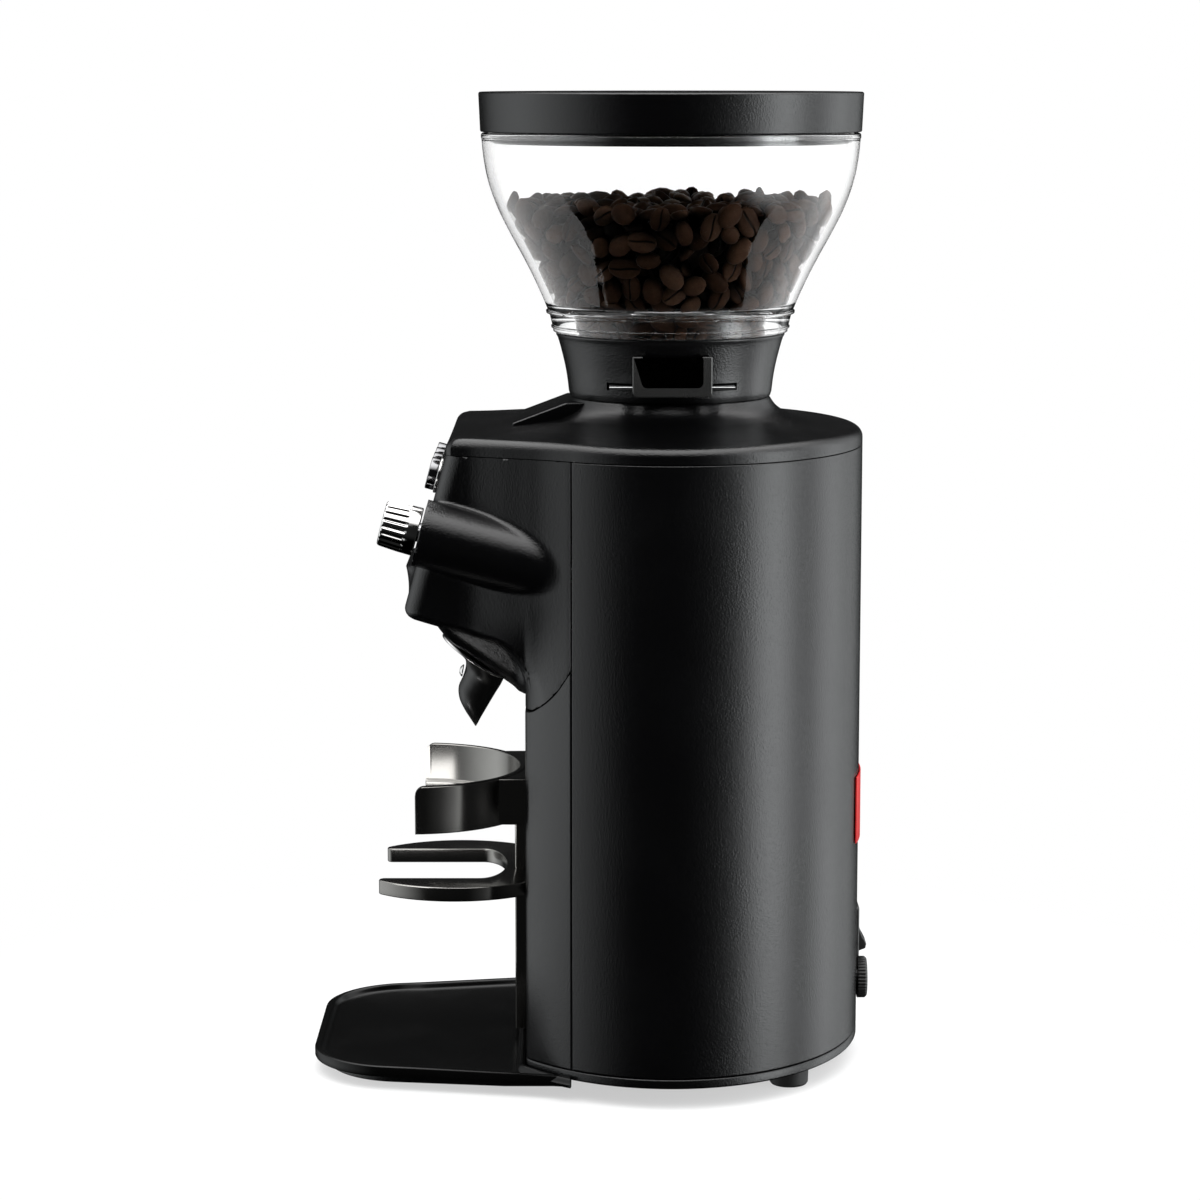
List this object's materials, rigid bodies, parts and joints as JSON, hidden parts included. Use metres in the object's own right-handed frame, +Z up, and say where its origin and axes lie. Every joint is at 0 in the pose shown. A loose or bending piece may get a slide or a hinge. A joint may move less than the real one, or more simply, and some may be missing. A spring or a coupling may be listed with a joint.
{
  "type": "burr coffee grinder",
  "caption": "Home burr coffee grinder: oval black housing, leaning head with grind knob and buttons, clear bean hopper with lid, pointed spout, portafilter cradle and fork, front tray.",
  "frame": {"origin": "middle of the footprint on the counter, at the bottom of the feet", "axes": "+Z up towards the hopper lid; -Y is the front, with the spout, cradle and tray; +X is the side with the grind knob boss and the shutter handle"},
  "size_m": [0.1892, 0.2382, 0.4126],
  "materials": {
    "textured_black": "fine orange-peel texture, satin",
    "black_rubber": "matt",
    "satin_black": "satin",
    "dark_chrome": "dark nickel, polished",
    "bright_chrome": "polished",
    "clear_glass": "clear",
    "roasted_beans": "dark roasted, dull sheen",
    "steel": "brushed",
    "aluminium": "cast and turned",
    "motor_iron": "dark",
    "red_label": "plain printed film",
    "circuit_green": "lacquered"
  },
  "bodies": {
    "housing": {"base_plate": "textured_black", "tray_support": "textured_black", "rear_shell": "textured_black", "column_panel": "textured_black", "head_cover": "textured_black", "top_cover": "textured_black", "rubber_foot_1": "black_rubber", "rubber_foot_2": "black_rubber", "rubber_foot_3": "black_rubber", "rubber_foot_4": "black_rubber", "feed_throat": "satin_black", "grounds_chute": "satin_black", "spout": "satin_black", "switch_frame": "satin_black", "gland_body": "satin_black", "gland_nut": "satin_black", "gland_locknut": "satin_black", "rail": "dark_chrome", "portafilter_cradle": "dark_chrome", "button_plate": "bright_chrome", "spout_ring": "bright_chrome", "spout_stud": "bright_chrome", "lower_bearing": "steel", "upper_bearing": "steel", "knob_bush": "steel", "chassis_plate": "aluminium", "burr_chamber": "aluminium", "run_capacitor": "aluminium", "motor_housing": "motor_iron", "stator_core": "motor_iron", "mains_transformer": "motor_iron", "rating_label": "red_label", "power_board": "circuit_green", "control_board": "circuit_green"},
    "rotor": {"motor_shaft": "steel", "motor_rotor": "motor_iron", "cooling_fan": "satin_black", "lower_burr_carrier": "steel", "lower_burr": "steel"},
    "adjuster": {"adjusting_ring": "satin_black", "upper_burr_carrier": "aluminium", "upper_burr": "steel"},
    "knob": {"grind_knob": "bright_chrome", "knob_spindle": "steel"},
    "hopper": {"hopper_collar": "textured_black", "hopper_bowl": "clear_glass", "bean_fill": "roasted_beans"},
    "shutter": {"shutter_plate": "steel", "shutter_handle": "satin_black"},
    "lid": {"hopper_lid": "textured_black", "lid_seal": "black_rubber"},
    "button_1": {"button_1": "satin_black"},
    "button_2": {"button_2": "satin_black"},
    "button_3": {"button_3": "satin_black"},
    "button_4": {"button_4": "satin_black"},
    "rocker": {"rocker_paddle": "satin_black"},
    "fork": {"portafilter_fork": "dark_chrome"},
    "tray": {"drip_tray": "satin_black"}
  },
  "joints": [
    {"name": "burr_spin", "type": "hinge", "parent": "housing", "child": "rotor", "pos_m": [0, 0.0327, 0.13], "axis": [0, 0, 1], "continuous": true},
    {"name": "knob_turn", "type": "hinge", "parent": "housing", "child": "knob", "pos_m": [0.0631, -0.0708, 0.2346], "axis": [0, -0.9659, 0.2588], "range_deg": [-540, 540]},
    {"name": "adjuster_turn", "type": "hinge", "parent": "housing", "child": "adjuster", "pos_m": [0, 0.0327, 0.208], "axis": [0, 0, 1], "range_deg": [-18.5, 18.5]},
    {"name": "hopper_lift", "type": "slide", "parent": "housing", "child": "hopper", "axis": [0, 0, 1], "range_m": [0, 0.06]},
    {"name": "shutter_pull", "type": "slide", "parent": "hopper", "child": "shutter", "axis": [1, 0, 0], "range_m": [0, 0.05]},
    {"name": "lid_lift", "type": "slide", "parent": "hopper", "child": "lid", "axis": [0, 0, 1], "range_m": [0, 0.08]},
    {"name": "rocker_tilt", "type": "hinge", "parent": "housing", "child": "rocker", "pos_m": [0, 0.1122, 0.0525], "axis": [-1, 0, 0], "range_deg": [0, 17]},
    {"name": "fork_height", "type": "slide", "parent": "housing", "child": "fork", "axis": [0, 0, 1], "range_m": [-0.055, 0.018]},
    {"name": "tray_pull", "type": "slide", "parent": "housing", "child": "tray", "axis": [0, -1, 0], "range_m": [0, 0.1]},
    {"name": "button_1_press", "type": "slide", "parent": "housing", "child": "button_1", "axis": [0, 0.9646, -0.2639], "range_m": [0, 0.0012], "stiffness_N_per_m": 600, "springref_m": -0.0008},
    {"name": "button_2_press", "type": "slide", "parent": "housing", "child": "button_2", "axis": [0, 0.9646, -0.2639], "range_m": [0, 0.0012], "stiffness_N_per_m": 600, "springref_m": -0.0008},
    {"name": "button_3_press", "type": "slide", "parent": "housing", "child": "button_3", "axis": [0, 0.9646, -0.2639], "range_m": [0, 0.0012], "stiffness_N_per_m": 600, "springref_m": -0.0008},
    {"name": "button_4_press", "type": "slide", "parent": "housing", "child": "button_4", "axis": [0, 0.9646, -0.2639], "range_m": [0, 0.0012], "stiffness_N_per_m": 600, "springref_m": -0.0008}
  ],
  "couplings": [
    {"joint": "adjuster_turn", "follows": "knob_turn", "ratio": -0.033333}
  ]
}
